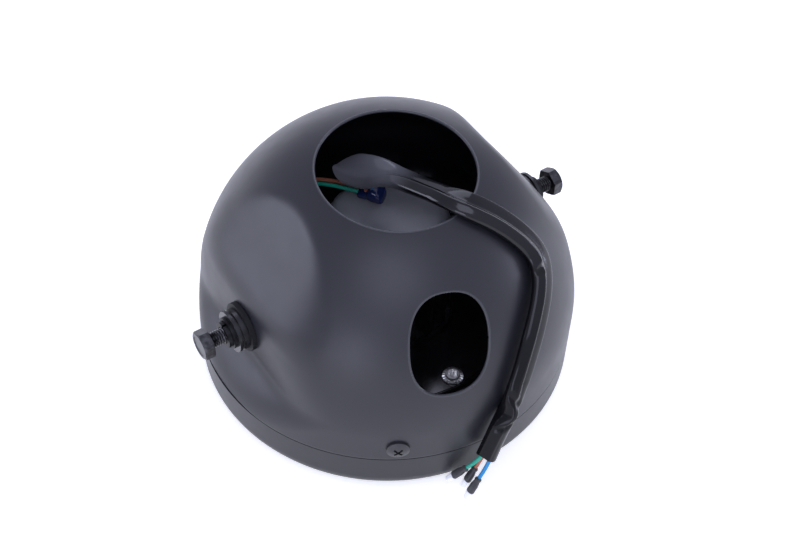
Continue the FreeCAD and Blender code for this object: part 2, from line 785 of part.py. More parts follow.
def rounded_path(name, route):
    """Straight runs joined by arcs as large as the runs allow, as edges of one wire."""
    points = [Vector(*point) for point in route]
    edges, radii = [], []
    last = points[0]
    for before, corner, after in zip(points, points[1:], points[2:]):
        back, ahead = (before - corner), (after - corner)
        half_turn = (math.pi - back.getAngle(ahead)) / 2
        step = 0.45 * min(back.Length, ahead.Length)
        radius = step / math.tan(half_turn)
        enter = corner + back.normalize() * step
        leave = corner + ahead.normalize() * step
        centre_way = (back + ahead).normalize()
        middle = corner + centre_way * (math.hypot(radius, step) - radius)
        edges.append(Part.LineSegment(last, enter).toShape())
        edges.append(Part.Arc(enter, middle, leave).toShape())
        radii.append(radius)
        last = leave
    edges.append(Part.LineSegment(last, points[-1]).toShape())
    path = Part.Wire(edges)
    print("%s: length %.1f mm, radii %s" % (name, path.Length, " ".join("%.1f" % r for r in radii)))
    return path


def tube(path, radius):
    """A round solid swept along a path."""
    first = path.Edges[0]
    circle = Part.Circle(first.valueAt(first.FirstParameter), first.tangentAt(first.FirstParameter), radius)
    swept = path.makePipe(Part.Face(Part.Wire(circle.toShape())))
    expected = math.pi * radius * radius * path.Length
    if abs(swept.Volume - expected) > 0.02 * expected:
        raise RuntimeError("a tube's volume is off: %.1f for %.1f" % (swept.Volume, expected))
    return swept


def loose_piece(name, shape):
    piece = doc.addObject("Part::Feature", name)
    piece.Shape = shape
    return keep(name, piece)


def slant_block():
    """A block whose face cuts the sleeve's upper end on a slant, so that it opens downwards."""
    start = Vector(*SLEEVE_ROUTE[0])
    way = (Vector(*SLEEVE_ROUTE[1]) - start).normalize()
    aside = way.cross(Vector(0, 0, 1)).normalize()
    upright = aside.cross(way)
    radius = SIZES["sleeve_radius"]
    slope = (way * SIZES["mouth_slant"] - upright * (2 * radius)).normalize()
    outward = slope.cross(aside)
    length, width, height = SIZES["mouth_slant"] * 2, radius * 4, radius * 4
    corner = start + upright * radius - slope * (length / 4) - aside * (width / 2)
    block = Part.makeBox(length, width, height)
    block.Placement = Placement(corner, Rotation(slope, aside, outward, "ZXY"))
    return block


# Sleeve, wires, and a boot and terminal cover on the end of each wire tail
sleeve_path = rounded_path("harness_sleeve", SLEEVE_ROUTE)
sleeve_bore = SIZES["sleeve_radius"] - SIZES["sleeve_wall"]
sleeve = tube(sleeve_path, SIZES["sleeve_radius"]).cut(tube(sleeve_path, sleeve_bore))
loose_piece("harness_sleeve", sleeve.cut(slant_block()))
for name, route in INNER_ROUTES.items():
    loose_piece(name, tube(rounded_path(name, route), SIZES["wire_radius"]))
for name, route in TAIL_ROUTES.items():
    loose_piece(name, tube(rounded_path(name, route), SIZES["wire_radius"]))
    colour = name.split("_")[1]
    end = Vector(*route[-1])
    way = (end - Vector(*route[-2])).normalize()
    along = Rotation(Vector(0, 0, 1), way)
    boot = solid("Cone", Radius1=S["boot_radius"] * 0.8, Radius2=S["boot_radius"], Height=S["boot_length"])
    keep("boot_" + colour, place(boot, end, along))
    cover = cylinder(S["terminal_radius"], S["terminal_length"])
    keep("terminal_" + colour, place(cover, end + way * SIZES["boot_length"], along))

doc.recompute()
failed = [item.Label for item in doc.Objects if {"Invalid", "Error"} & set(item.State)]
failed += [name for name, piece in nodes.items() if piece.Shape.isNull() or not piece.Shape.isValid()]
if failed:
    raise RuntimeError("these did not build: " + ", ".join(failed))
os.makedirs("parts", exist_ok=True)
for name, piece in nodes.items():
    piece.Shape.exportStep("parts/%s.step" % name)
    print("%s: %d solids, %.0f mm3" % (name, len(piece.Shape.Solids), piece.Shape.Volume))
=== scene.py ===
# %% [markdown]
# A round motorcycle headlight lies on its front rim with the lens down, so the back of its black
# bucket is on top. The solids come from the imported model, in metres. Every new piece is worked out
# in the same frame, in millimetres: X runs across the lamp through its side bolts, Y points to
# twelve o'clock, and Z points up, to the back of the lamp.

# %% Load the solids
import json
import math

import bmesh
import bpy
import numpy as np
from mathutils import Matrix, Vector


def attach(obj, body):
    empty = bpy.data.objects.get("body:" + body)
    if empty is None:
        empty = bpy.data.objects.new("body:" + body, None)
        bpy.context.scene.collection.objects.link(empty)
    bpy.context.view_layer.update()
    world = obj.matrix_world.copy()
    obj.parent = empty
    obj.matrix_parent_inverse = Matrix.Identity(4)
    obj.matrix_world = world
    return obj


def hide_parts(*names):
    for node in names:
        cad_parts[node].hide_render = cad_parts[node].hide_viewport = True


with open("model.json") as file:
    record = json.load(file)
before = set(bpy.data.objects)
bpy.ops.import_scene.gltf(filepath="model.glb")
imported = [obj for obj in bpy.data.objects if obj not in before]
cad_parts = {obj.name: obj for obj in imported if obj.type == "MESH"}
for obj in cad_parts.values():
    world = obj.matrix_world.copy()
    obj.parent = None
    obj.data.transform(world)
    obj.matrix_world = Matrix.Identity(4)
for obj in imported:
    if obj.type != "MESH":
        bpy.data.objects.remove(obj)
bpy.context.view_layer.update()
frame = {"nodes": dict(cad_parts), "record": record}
MM = 0.001
ACROSS, TWELVE, UPWARDS = np.eye(3)

# %% [markdown]
# The camera comes first, and everything after is seen from its place.
# It looks down at the back of the lamp from the front left, with a fairly long lens, turned a little
# about its axis. A constraint could aim it, but a matrix of its own three directions keeps the small
# roll exact.

# %% Camera
CAMERA_PLACE = np.array([-270.57, -392.51, 591.88]) * MM
CAMERA_AIM = np.array([5.42, -3.73, 55.25]) * MM
CAMERA_ROLL = math.radians(2.53)
FOCAL_PIXELS = 1434.63
IMAGE_WIDTH = 800
SENSOR_WIDTH = 36.0


def unit(vectors):
    """Vectors in an array's last axis, each divided by its own length."""
    return vectors / np.linalg.norm(vectors, axis=-1, keepdims=True)


ahead = unit(CAMERA_AIM - CAMERA_PLACE)
level = unit(np.cross(ahead, UPWARDS))
above = np.cross(level, ahead)
camera_right = math.cos(CAMERA_ROLL) * level + math.sin(CAMERA_ROLL) * above
camera_up = math.cos(CAMERA_ROLL) * above - math.sin(CAMERA_ROLL) * level
lens = bpy.data.cameras.new("photo_camera")
lens.sensor_width = SENSOR_WIDTH
lens.sensor_fit = "HORIZONTAL"
lens.lens = FOCAL_PIXELS * SENSOR_WIDTH / IMAGE_WIDTH
camera = bpy.data.objects.new("photo_camera", lens)
camera.matrix_world = Matrix(np.column_stack([camera_right, camera_up, -ahead]).tolist()).to_4x4()
camera.location = Vector(CAMERA_PLACE)
bpy.context.collection.objects.link(camera)
bpy.context.scene.camera = camera
print("lens: %.1f mm" % lens.lens)

# %% [markdown]
# Finishes are node materials. Their nodes could be laid out by hand, but written as Python arithmetic
# they stay readable: a small class wraps a socket, sums and products on it add Math nodes, and one
# method adds any other node.

# %% Shader arithmetic
class Flow:
    """A value that changes over a surface: a socket whose sums and products add Math nodes."""

    def __init__(self, tree, socket):
        self.tree = tree
        self.socket = socket

    def node(self, kind, settings, inputs, output=0):
        """Add a node of a kind: its settings first, then values or links for its sockets."""
        made = self.tree.nodes.new("ShaderNode" + kind)
        for key, value in settings.items():
            setattr(made, key, value)
        for key, value in inputs.items():
            if isinstance(value, Flow):
                self.tree.links.new(value.socket, made.inputs[key])
            else:
                made.inputs[key].default_value = value
        return Flow(self.tree, made.outputs[output])

    def maths(self, operation, first, second):
        """A Math node on two values, either of which may be a plain number."""
        return self.node("Math", {"operation": operation}, {0: first, 1: second})

    def __add__(self, other):
        return self.maths("ADD", self, other)

    def __sub__(self, other):
        return self.maths("SUBTRACT", self, other)

    def __rsub__(self, other):
        return self.maths("SUBTRACT", other, self)

    def __mul__(self, other):
        return self.maths("MULTIPLY", self, other)

    __radd__ = __add__
    __rmul__ = __mul__

    def axis(self, number):
        """One coordinate of a place: 0, 1 or 2 for X, Y or Z."""
        return self.node("SeparateXYZ", {}, {"Vector": self}, number)

    def noise(self, size_mm, detail):
        """Soft noise from 0 to 1 with lumps about size_mm across."""
        inputs = {"Vector": self, "Scale": 1.0 / (size_mm * MM), "Detail": detail}
        return self.node("TexNoise", {}, inputs)

    def between(self, low, high):
        """0 below low, 1 above high and a smooth step between them."""
        settings = {"interpolation_type": "SMOOTHSTEP"}
        return self.node("MapRange", settings, {"Value": self, "From Min": low, "From Max": high})

    def blend(self, first, second):
        """A colour that goes from first to second as this value goes from 0 to 1."""
        return self.node("Mix", {"data_type": "RGBA"}, {0: self, 6: first, 7: second}, 2)

    def bump(self, height_mm, strength):
        """A normal tilted by this value taken as a height."""
        inputs = {"Height": self, "Distance": height_mm * MM, "Strength": strength}
        return self.node("Bump", {}, inputs)


print("shader arithmetic ready")

# %% [markdown]
# Every finish is made by one function. Numbers that are the same all over go straight onto the
# shader's sockets, where a viewer can read them, and only what changes over the surface is linked.

# %% Making a finish
finishes = {}


def rgb(red, green, blue):
    """An opaque colour."""
    return (red, green, blue, 1.0)


def shade(colour, factor):
    """A colour made darker or lighter by a factor."""
    return rgb(*(min(part * factor, 1.0) for part in colour[:3]))


def add_finish(name, plain, vary):
    """Keep a material: plain holds its fixed numbers, and vary(place) gives what changes over it."""
    made = bpy.data.materials.new(name)
    made.use_nodes = True
    tree = made.node_tree
    shader = tree.nodes["Principled BSDF"]
    for key, value in plain.items():
        shader.inputs[key].default_value = value
    place = Flow(tree, tree.nodes.new("ShaderNodeTexCoord").outputs["Object"])
    for key, flow in vary(place).items():
        tree.links.new(flow.socket, shader.inputs[key])
    finishes[name] = made


print("finish maker ready")

# %% [markdown]
# The shell, the trim ring and the black screws are painted. Plain grey would look like a drawing, so
# the paint's tone drifts slowly, its patches differ a little in gloss, and a fine grain covers it.

# %% Paints
def paint(name, colour, roughness, grain_mm, grain_height):
    """Sprayed paint: tone and gloss drift slowly, over a fine grain."""
    def vary(place):
        cloud = place.noise(38.0, 3.0)
        patch = place.noise(9.0, 4.0)
        speck = place.noise(0.9, 2.0).between(0.62, 0.74)
        tone = cloud * 0.7 + speck * 0.3
        grain = place.noise(grain_mm, 2.0)
        return {
            "Base Color": tone.blend(shade(colour, 0.86), shade(colour, 1.22)),
            "Roughness": patch * 0.10 + (roughness - 0.05),
            "Normal": grain.bump(grain_height, 0.6),
        }
    add_finish(name, {"Specular IOR Level": 0.5}, vary)


paint("shell_paint", rgb(0.0100, 0.0105, 0.0145), 0.40, 0.55, 0.012)
# The hole edges' paint is lighter than the shell's: a painted highlight.
paint("edge_highlight_paint", rgb(0.034, 0.035, 0.040), 0.28, 0.4, 0.006)
paint("trim_paint", rgb(0.0095, 0.0100, 0.0135), 0.40, 0.55, 0.012)
paint("screw_black", rgb(0.022, 0.022, 0.024), 0.36, 0.3, 0.006)
paint("collar_black", rgb(0.006, 0.006, 0.007), 0.28, 0.3, 0.004)
print("finishes:", len(finishes))

# %% [markdown]
# Bolts, washers, clips, the heat sink and the reflector are metal, plated or bare. Each has fine
# streaks, small dull spots and darker tarnish in patches, and they differ only in colour and depth.

# %% Metals
def metal(name, colour, roughness, tarnish=0.28, grain_height=0.01):
    """Metal: streaks set the grain, and spots set the tarnish, which darkens or lightens the colour."""
    def vary(place):
        streak = place.noise(0.5, 3.0)
        spot = place.noise(2.2, 4.0)
        tone = spot.between(0.35, 0.75)
        return {
            "Base Color": tone.blend(shade(colour, 1.0 - tarnish), shade(colour, 1.0 + tarnish)),
            "Roughness": streak * 0.16 + spot * 0.10 + (roughness - 0.13),
            "Normal": streak.bump(grain_height, 0.5),
        }
    add_finish(name, {"Metallic": 1.0}, vary)


metal("bolt_steel", rgb(0.07, 0.07, 0.073), 0.32, 0.35)
metal("washer_steel", rgb(0.03, 0.03, 0.032), 0.50)
metal("screw_zinc", rgb(0.92, 0.91, 0.89), 0.34)
metal("clip_steel", rgb(0.50, 0.50, 0.49), 0.32)
metal("sink_aluminium", rgb(0.10, 0.10, 0.105), 0.46)
metal("reflector_bright", rgb(0.88, 0.89, 0.91), 0.14, 0.04, 0.001)
print("finishes:", len(finishes))

# %% [markdown]
# Housings, boards, wires and rubber rings are moulded. A mould leaves a fine texture, and dust stays
# in it, so the colour goes pale where a slow noise is high.

# %% Plastics and rubber
DUST_TONE = 0.30


def moulded(name, colour, roughness, texture_mm=0.7, texture_height=0.015, dust=0.2, specular=0.5):
    """Plastic or rubber: a fine mould texture, with pale dust where the noise is high."""
    pale = rgb(*(part + (DUST_TONE - part) * dust for part in colour[:3]))

    def vary(place):
        cloud = place.noise(11.0, 4.0)
        texture = place.noise(texture_mm, 3.0)
        return {
            "Base Color": cloud.between(0.45, 0.85).blend(colour, pale),
            "Roughness": cloud * 0.12 + texture * 0.06 + (roughness - 0.09),
            "Normal": texture.bump(texture_height, 0.6),
        }
    add_finish(name, {"Specular IOR Level": specular}, vary)


moulded("rubber", rgb(0.005, 0.005, 0.006), 0.60, dust=0.01, specular=0.3)
moulded("unit_black", rgb(0.005, 0.005, 0.006), 0.16, 0.9, 0.004, 0.02)
moulded("board_white", rgb(0.72, 0.73, 0.72), 0.45)
moulded("board_green", rgb(0.03, 0.17, 0.07), 0.4)
moulded("diode_yellow", rgb(0.85, 0.70, 0.16), 0.4)
moulded("grommet_blue", rgb(0.010, 0.018, 0.075), 0.12, 1.5, 0.02, 0.05)
moulded("wire_brown", rgb(0.40, 0.13, 0.075), 0.34, 0.5, 0.006, 0.12)
moulded("wire_green", rgb(0.012, 0.34, 0.23), 0.34, 0.5, 0.006, 0.12)
moulded("wire_blue", rgb(0.004, 0.23, 0.52), 0.34, 0.5, 0.006, 0.10)
moulded("boot_grey", rgb(0.028, 0.028, 0.031), 0.42, 0.5, 0.01, 0.15)
moulded("terminal_clear", rgb(0.90, 0.91, 0.92), 0.14, 0.8, 0.01, 0.05)
print("finishes:", len(finishes))

# %% [markdown]
# The sleeve is black tubing. Its cut end, inside the bucket, sits in the shade of the rear hole, and is
# painted paler there as painted light, and made rougher, so the distance from the cut end drives the
# colour and the roughness together. Its lower run looks duller than its top, so it has a clear coat
# that thins out as the sleeve comes down.

# %% Sleeve finish
CUT_END = (-4.0 * MM, 18.0 * MM, 107.0 * MM)
PAINTED_LIGHT_TO, PLAIN_BLACK_FROM = 14.0 * MM, 40.0 * MM
DULL_BELOW, GLOSSY_ABOVE = 55.0 * MM, 125.0 * MM


def vary_sleeve(place):
    """Paler near the cut end as painted light, and rougher, by the distance from it; and a coat by height.
    """
    distance = place.node("VectorMath", {"operation": "DISTANCE"}, {0: place, 1: CUT_END}, 1)
    # Paler near the cut end: painted light on the end that sits in the shade of the rear hole.
    plain_black = distance.between(PAINTED_LIGHT_TO, PLAIN_BLACK_FROM)
    texture = place.noise(2.2, 3.0)
    cloud = place.noise(11.0, 4.0)
    return {
        "Base Color": plain_black.blend(rgb(0.100, 0.102, 0.114), rgb(0.003, 0.003, 0.004)),
        "Roughness": cloud * 0.12 + texture * 0.06 + (1.0 - plain_black) * 0.15 + 0.15,
        "Coat Weight": place.axis(2).between(DULL_BELOW, GLOSSY_ABOVE) * 0.4 + 0.25,
        "Normal": texture.bump(0.006, 0.6),
    }


add_finish("sleeve_black", {"Specular IOR Level": 0.06, "Coat Roughness": 0.10}, vary_sleeve)
print("sleeve finish set")

# %% [markdown]
# The cover on the lamp unit's back is painted grey on top, as painted light where light falls on it
# through the rear hole, and nearly black down its sides, as painted shade. Two materials could meet on
# it, but one whose colour depends on height has no seam.

# %% Cover finish
PAINTED_SHADE_BELOW, PAINTED_LIGHT_ABOVE = 78.0 * MM, 91.0 * MM


def vary_cover(place):
    """Grey above a height as painted light and nearly black below it as painted shade, in soft clouds."""
    cloud = place.noise(9.0, 4.0)
    texture = place.noise(0.8, 3.0)
    # Grey on top and nearly black down the sides: painted light and painted shade.
    tone = place.axis(2).between(PAINTED_SHADE_BELOW, PAINTED_LIGHT_ABOVE) * (cloud * 0.5 + 0.7)
    return {
        "Base Color": tone.blend(rgb(0.012, 0.012, 0.014), rgb(0.15, 0.154, 0.165)),
        "Roughness": cloud * 0.14 + 0.28,
        "Normal": texture.bump(0.01, 0.6),
    }


add_finish("cover_grey", {"Specular IOR Level": 0.5}, vary_cover)
print("cover finish set")

# %% [markdown]
# The lens is clear polycarbonate. A real one bends light at both faces, but a thin window looks right
# with a mostly see-through coat, which is also what a game engine or a viewer can show.

# %% Lens finish
def vary_lens(place):
    """A faint haze in the gloss and in how much is seen through."""
    haze = place.noise(26.0, 3.0)
    return {"Roughness": haze * 0.05 + 0.02, "Alpha": haze * 0.06 + 0.20}


add_finish("lens_clear", {"Base Color": rgb(0.90, 0.93, 0.95), "IOR": 1.58}, vary_lens)
print("lens finish set")

# %% [markdown]
# The record names a finish for each solid, so the solids are dressed by a loop. A new piece is dressed
# the same way: it rides on the solid body, names the finish that it takes, and hides the solids that it
# stands for.

# %% Dress the solids
for part in frame["record"]["subparts"]:
    solid = frame["nodes"][part["node"]]
    for socket in solid.material_slots:
        socket.material = finishes[part["material_slot"]]


def add_piece(name, shape, slot, stands_for, finish=None):
    """Put a mesh or a curve into the part, with its slot's finish unless another is named."""
    piece = bpy.data.objects.new(name, shape)
    shape.materials.append(finishes[finish or slot])
    bpy.context.collection.objects.link(piece)
    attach(piece, "root")
    if stands_for:
        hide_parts(*stands_for)
    return piece


# %% [markdown]
# Every new surface is a grid of points given by a formula: rows of outlines, each closed round. Points
# could be pushed into place by hand, but a formula stays exact and changes with one number. The doubled
# points at poles and seams are merged, so that each surface is closed.

# %% Grids into meshes
MERGE_DISTANCE = 1e-6


def full_turn(count):
    """Angles evenly spaced once round."""
    return np.linspace(0, 2 * np.pi, count, endpoint=False)


def grid_faces(rows, columns, loop, first):
    """Quads over points numbered row by row from first; a loop also joins the last row to the first."""
    index = first + np.arange(rows * columns).reshape(rows, columns)
    if loop:
        index = np.concatenate([index, index[:1]], axis=0)
    index = np.concatenate([index, index[:, :1]], axis=1)
    corners = [index[:-1, :-1], index[:-1, 1:], index[1:, 1:], index[1:, :-1]]
    return np.stack(corners, axis=-1).reshape(-1, 4)


def close_up(mesh):
    """Merge doubled points, drop faces with no area and turn the rest outwards."""
    work = bmesh.new()
    work.from_mesh(mesh)
    bmesh.ops.remove_doubles(work, verts=work.verts, dist=MERGE_DISTANCE)
    bmesh.ops.dissolve_degenerate(work, edges=work.edges, dist=MERGE_DISTANCE)
    bmesh.ops.recalc_face_normals(work, faces=work.faces)
    work.to_mesh(mesh)
    work.free()


def make_mesh(name, grids, loop=False):
    """One closed-up mesh from grids of points in millimetres."""
    points, faces, count = [], [], 0
    for grid in grids:
        rows, columns = grid.shape[:2]
        faces.append(grid_faces(rows, columns, loop, count))
        points.append(grid.reshape(-1, 3) * MM)
        count += rows * columns
    mesh = bpy.data.meshes.new(name)
    mesh.from_pydata(np.concatenate(points).tolist(), [], np.concatenate(faces).tolist())
    close_up(mesh)
    return mesh


def add_surface(name, mesh, slot, stands_for, sharp_degrees=40.0, finish=None):
    """A piece shaded smoothly, with sharp edges where faces turn by more than the angle."""
    mesh.polygons.foreach_set("use_smooth", np.ones(len(mesh.polygons), dtype=bool))
    mesh.set_sharp_from_angle(angle=math.radians(sharp_degrees))
    print("%s: %d faces" % (name, len(mesh.polygons)))
    return add_piece(name, mesh, slot, stands_for, finish)


print("mesh maker ready")

# %% [markdown]
# The loose wiring is settled before the rest, because it reaches furthest from the lamp. Its routes
# were chosen, in millimetres. The leads and two tails repeat the routes of their solids. The sleeve is
# flat here and a round tube there, so it lies up to 4 mm closer to the bucket, and the wires that end
# inside it are up to 3 mm away from theirs.

# %% Routes of the cords
SLEEVE_ROUTE = [
    (-9.3, 31.5, 103.4), (-3.4, 19.2, 107.4), (1.0, 7.0, 113.6), (3.8, -5.2, 119.2),
    (6.6, -19.5, 124.0), (9.3, -34.5, 129.4), (15.0, -43.3, 128.4), (24.2, -50.2, 122.2),
    (32.6, -57.4, 113.9), (38.6, -63.4, 105.3), (39.4, -68.6, 99.9), (36.8, -74.6, 94.4),
    (31.7, -80.8, 89.4), (24.6, -87.2, 82.8), (17.8, -92.5, 74.8), (9.4, -97.9, 60.2),
    (0.5, -100.7, 45.0), (-4.9, -101.4, 32.5), (-8.8, -101.7, 21.0),
]
INNER_ROUTES = {
    "lead_brown": [
        (-2.41, 20.72, 94.4), (-8.30, 28.55, 94.6), (-14.2, 36.8, 92.6), (-19.5, 45.5, 88.2),
        (-23.5, 51.5, 79.5), (-25.2, 53.0, 68.5), (-24.4, 50.4, 56.0), (-22.9, 47.6, 43.5),
        (-22.2, 46.2, 31.2),
    ],
    "lead_green": [
        (-4.81, 18.91, 94.4), (-10.88, 26.99, 94.4), (-17.4, 36.2, 92.0), (-23.2, 45.0, 87.4),
        (-27.6, 50.8, 78.6), (-29.3, 52.2, 67.5), (-28.3, 49.6, 55.4), (-26.8, 46.9, 43.3),
        (-26.2, 45.6, 31.2),
    ],
    "wire_brown": [(-3.0, 15.7, 97.0), (-3.0, 15.7, 109.2), (0.9, 2.9, 115.4), (2.9, -7.1, 119.9)],
    "wire_green": [(-0.7, 16.6, 97.0), (-0.7, 16.6, 109.2), (3.2, 3.4, 115.2), (5.2, -6.6, 119.7)],
    "wire_blue": [(-1.15, 13.6, 97.0), (-1.15, 13.6, 108.5), (2.0, 1.6, 114.4), (4.2, -8.9, 118.9)],
}
TAIL_ROUTES = {
    "green": [
        (-2.0, -100.7, 44.0), (-7.1, -101.1, 32.5), (-11.4, -101.1, 19.6), (-17.3, -98.4, 13.9),
    ],
    "brown": [
        (0.8, -99.3, 44.0), (-4.3, -99.7, 32.5), (-8.4, -99.8, 20.0), (-13.3, -100.1, 13.0),
    ],
    "blue": [
        (0.9, -102.2, 44.0), (-4.2, -102.8, 32.5), (-7.4, -103.6, 21.5), (-10.6, -104.4, 15.4),
        (-14.6, -105.1, 11.2),
    ],
}
print("routes:", 1 + len(INNER_ROUTES) + len(TAIL_ROUTES))

# %% [markdown]
# A cord bends evenly, so its line is a NURBS curve with the route's points as its control points.
# Order 3 makes it one smooth line. The order is set after the points are added, because before that
# a curve has too few points to keep it.

# %% Smooth lines
CURVE_STEPS = 12


def route_curve(name, route, radius=0.0):
    """A smooth curve along a route, as a round cord if it has a radius."""
    curve = bpy.data.curves.new(name, "CURVE")
    curve.dimensions = "3D"
    spline = curve.splines.new("NURBS")
    spline.points.add(len(route) - 1)
    homogeneous = np.column_stack([np.array(route) * MM, np.ones(len(route))])
    spline.points.foreach_set("co", homogeneous.ravel())
    spline.order_u = 3
    spline.use_endpoint_u = True
    spline.resolution_u = CURVE_STEPS
    curve.bevel_depth = radius * MM
    curve.bevel_resolution = 5
    curve.use_fill_caps = True
    return curve


def route_points(route):
    """The smooth line of a route as an array of points in millimetres."""
    holder = bpy.data.objects.new("route", route_curve("route", route))
    mesh = bpy.data.meshes.new_from_object(holder)
    points = np.empty(len(mesh.vertices) * 3)
    mesh.vertices.foreach_get("co", points)
    bpy.data.objects.remove(holder)
    bpy.data.meshes.remove(mesh)
    return points.reshape(-1, 3) / MM


def distances(points):
    """The distance along a line from its start to each of its points."""
    steps = np.linalg.norm(np.diff(points, axis=0), axis=1)
    return np.concatenate([[0.0], np.cumsum(steps)])


def route_length(route):
    """The length of a route's smooth line, in metres."""
    return float(distances(route_points(route))[-1]) * MM


print("sleeve: %.1f mm" % (route_length(SLEEVE_ROUTE) / MM))

# %% [markdown]
# The thin wires are round, so a bevelled curve is enough. Two leads go from the gland down to the lamp
# unit, and three wires rise from it into the sleeve's open end.

# %% Wires inside the bucket
WIRE_RADIUS = 1.0


def wire(name, route, slot):
    """A round wire along a route, standing for the solid of its name."""
    return add_piece(name + "_run", route_curve(name + "_run", route, WIRE_RADIUS), slot, [name])


for name, route in INNER_ROUTES.items():
    piece = wire(name, route, "wire_" + name.split("_")[1])
    length = route_length(route)
    print("%s: %.1f mm" % (name, length / MM))

# %% [markdown]
# Three tails come out of the sleeve's lower end, and each ends in a dark boot and a milky cover over
# its terminal. Both are flattened, rounded bars, so they are lofts: one superellipse carried along the
# wire's end, with its width and thickness changing on the way.

# %% Lofts
def superellipse(turn, power):
    """Cosine and sine to the power of 2 / power, signs kept: 2 is an ellipse, 4 nearly a rectangle."""
    cosine, sine = np.cos(turn), np.sin(turn)
    shape = 2.0 / power
    return np.sign(cosine) * np.abs(cosine) ** shape, np.sign(sine) * np.abs(sine) ** shape


def square_to(way, vectors):
    """Unit vectors that are square to way and as near as can be to those given."""
    return unit(vectors - way * (vectors * way).sum(-1, keepdims=True))


def carry(middle, first_size, first_way, second_size, second_way):
    """A grid of outlines: each middle point, plus one size along one way and another along a second."""
    return middle[:, None, :] + first_size[..., None] * first_way + second_size[..., None] * second_way


def straight_loft(start, way, stations, flat_way, power=3.0, around=40):
    """Outlines along a straight line: each station is (distance, half width, half thickness)."""
    wide = square_to(way, flat_way)
    distance, half_width, half_thickness = np.array(stations).T[..., None]
    first, second = superellipse(full_turn(around), power)
    middle = start + distance * way
    return carry(middle, half_width * first, wide, half_thickness * second, np.cross(way, wide))


print("lofts ready")

# %% [markdown]
# A boot has a lip, a waist and a wider body, and the cover a lip and a rounded tip. Their stations
# follow those forms, and a radius of nothing at each end closes them.

# %% Tails, boots and terminal covers
BOOT_LENGTH = 8.5
BOOT_STATIONS = [
    (0.0, 0.0, 0.0), (0.0, 1.35, 1.2), (0.5, 1.65, 1.4), (1.3, 1.65, 1.4), (1.7, 1.4, 1.25),
    (2.6, 1.6, 1.35), (4.2, 1.95, 1.5), (7.6, 2.0, 1.55), (8.3, 1.9, 1.45),
    (BOOT_LENGTH, 1.7, 1.3), (BOOT_LENGTH, 0.0, 0.0),
]
COVER_STATIONS = [
    (0.0, 0.0, 0.0), (0.0, 1.55, 1.15), (0.4, 1.75, 1.3), (1.0, 1.75, 1.3), (1.2, 1.55, 1.15),
    (3.0, 1.5, 1.1), (3.7, 1.3, 0.95), (4.0, 0.9, 0.7), (4.0, 0.0, 0.0),
]
FLAT_WAY = np.array([0.4, 0.9, 0.25])

for colour, route in TAIL_ROUTES.items():
    tail = wire("tail_" + colour, route, "wire_" + colour)
    end = np.array(route[-1])
    way = unit(end - np.array(route[-2]))
    boot_mesh = make_mesh("boot", [straight_loft(end, way, BOOT_STATIONS, FLAT_WAY)])
    boot = add_surface("boot_%s_shape" % colour, boot_mesh, "boot_grey", ["boot_" + colour])
    tip = end + way * BOOT_LENGTH
    cover_mesh = make_mesh("cover", [straight_loft(tip, way, COVER_STATIONS, FLAT_WAY)])
    cover = add_surface("terminal_%s_shape" % colour, cover_mesh, "terminal_clear",
                        ["terminal_" + colour])
    length = route_length(route)
    print("tail_%s: %.1f mm" % (colour, length / MM))

# %% [markdown]
# The sleeve is a limp tube of thin plastic, squashed flat where it lies over the bucket. A cloth
# simulation could drape it, but it has to lie as in the photograph, so it is a formula: an outline
# carried along the route. First comes the frame at each distance: where the line is, which way leads
# away from the bucket's middle, and which way lies along its skin.

# %% Frame along the sleeve
DOME_CENTRE = 41.0
MOUTH_AT, MOUTH_REACH = 16.0, 16.0
MOUTH_LEAN = np.array([-32.0, -50.0, 0.0])

sleeve_line = route_points(SLEEVE_ROUTE)
sleeve_steps = distances(sleeve_line)
sleeve_ways = np.gradient(sleeve_line, sleeve_steps, axis=0)
sleeve_length = sleeve_steps[-1]


def hump(value, middle, width):
    """A smooth hill of height one at the middle, falling away over the width."""
    return np.exp(-(((value - middle) / width) ** 2))


def along_sleeve(along, values):
    """Vectors given at the line's points, read off at other distances along it."""
    return np.stack([np.interp(along, sleeve_steps, column) for column in values.T], axis=-1)


def sleeve_frame(along):
    """The line's point, the way along the skin and the way outwards, leaned over at the mouth."""
    line = along_sleeve(along, sleeve_line)
    way = unit(along_sleeve(along, sleeve_ways))
    centre = np.minimum(line[..., 2:], DOME_CENTRE) * UPWARDS
    lean = hump(along, MOUTH_AT, MOUTH_REACH)[..., None] * MOUTH_LEAN
    away = square_to(way, line - centre + lean)
    return line, np.cross(way, away), away


print("sleeve line: %d points" % len(sleeve_line))

# %% [markdown]
# Creases make thin plastic look like plastic. The sleeve kinks where it turns down, and two creases
# cross it at the pinch near its lower end. Each is a hump along the sleeve whose place slides with the
# turn, so it runs aslant. A bump map could draw them, but they show in outline too.

# %% Creases of the sleeve
KINK_AT, KINK_WIDTH, KINK_SLANT, KINK_DEPTH = 103.0, 2.2, 5.0, 1.5
CREASE_ABOVE, CREASE_BELOW = 35.0, 24.0
CREASE_WIDTH, CREASE_SLANT, CREASE_DEPTH = 1.8, 4.0, 1.3
RIDGE_PLACE, RIDGE_WIDTH, RIDGE_HEIGHT = 0.45, 0.16, 0.4
PINCH_AT, PINCH_WIDTH, PINCH_SWELL = 29.0, 5.0, 0.7


def sleeve_dents(from_end, sideways, lobe):
    """Depth of the kink and the creases, less a swelling at the pinch and a low ridge along the sleeve."""
    kink = hump(from_end + KINK_SLANT * sideways, KINK_AT, KINK_WIDTH) * lobe
    upper = hump(from_end - CREASE_SLANT * sideways, CREASE_ABOVE, CREASE_WIDTH)
    lower = hump(from_end + CREASE_SLANT * sideways, CREASE_BELOW, CREASE_WIDTH)
    swelling = PINCH_SWELL * hump(from_end, PINCH_AT, PINCH_WIDTH)
    ridge = RIDGE_HEIGHT * hump(sideways, RIDGE_PLACE, RIDGE_WIDTH)
    return KINK_DEPTH * kink + CREASE_DEPTH * (upper + lower) - swelling - ridge


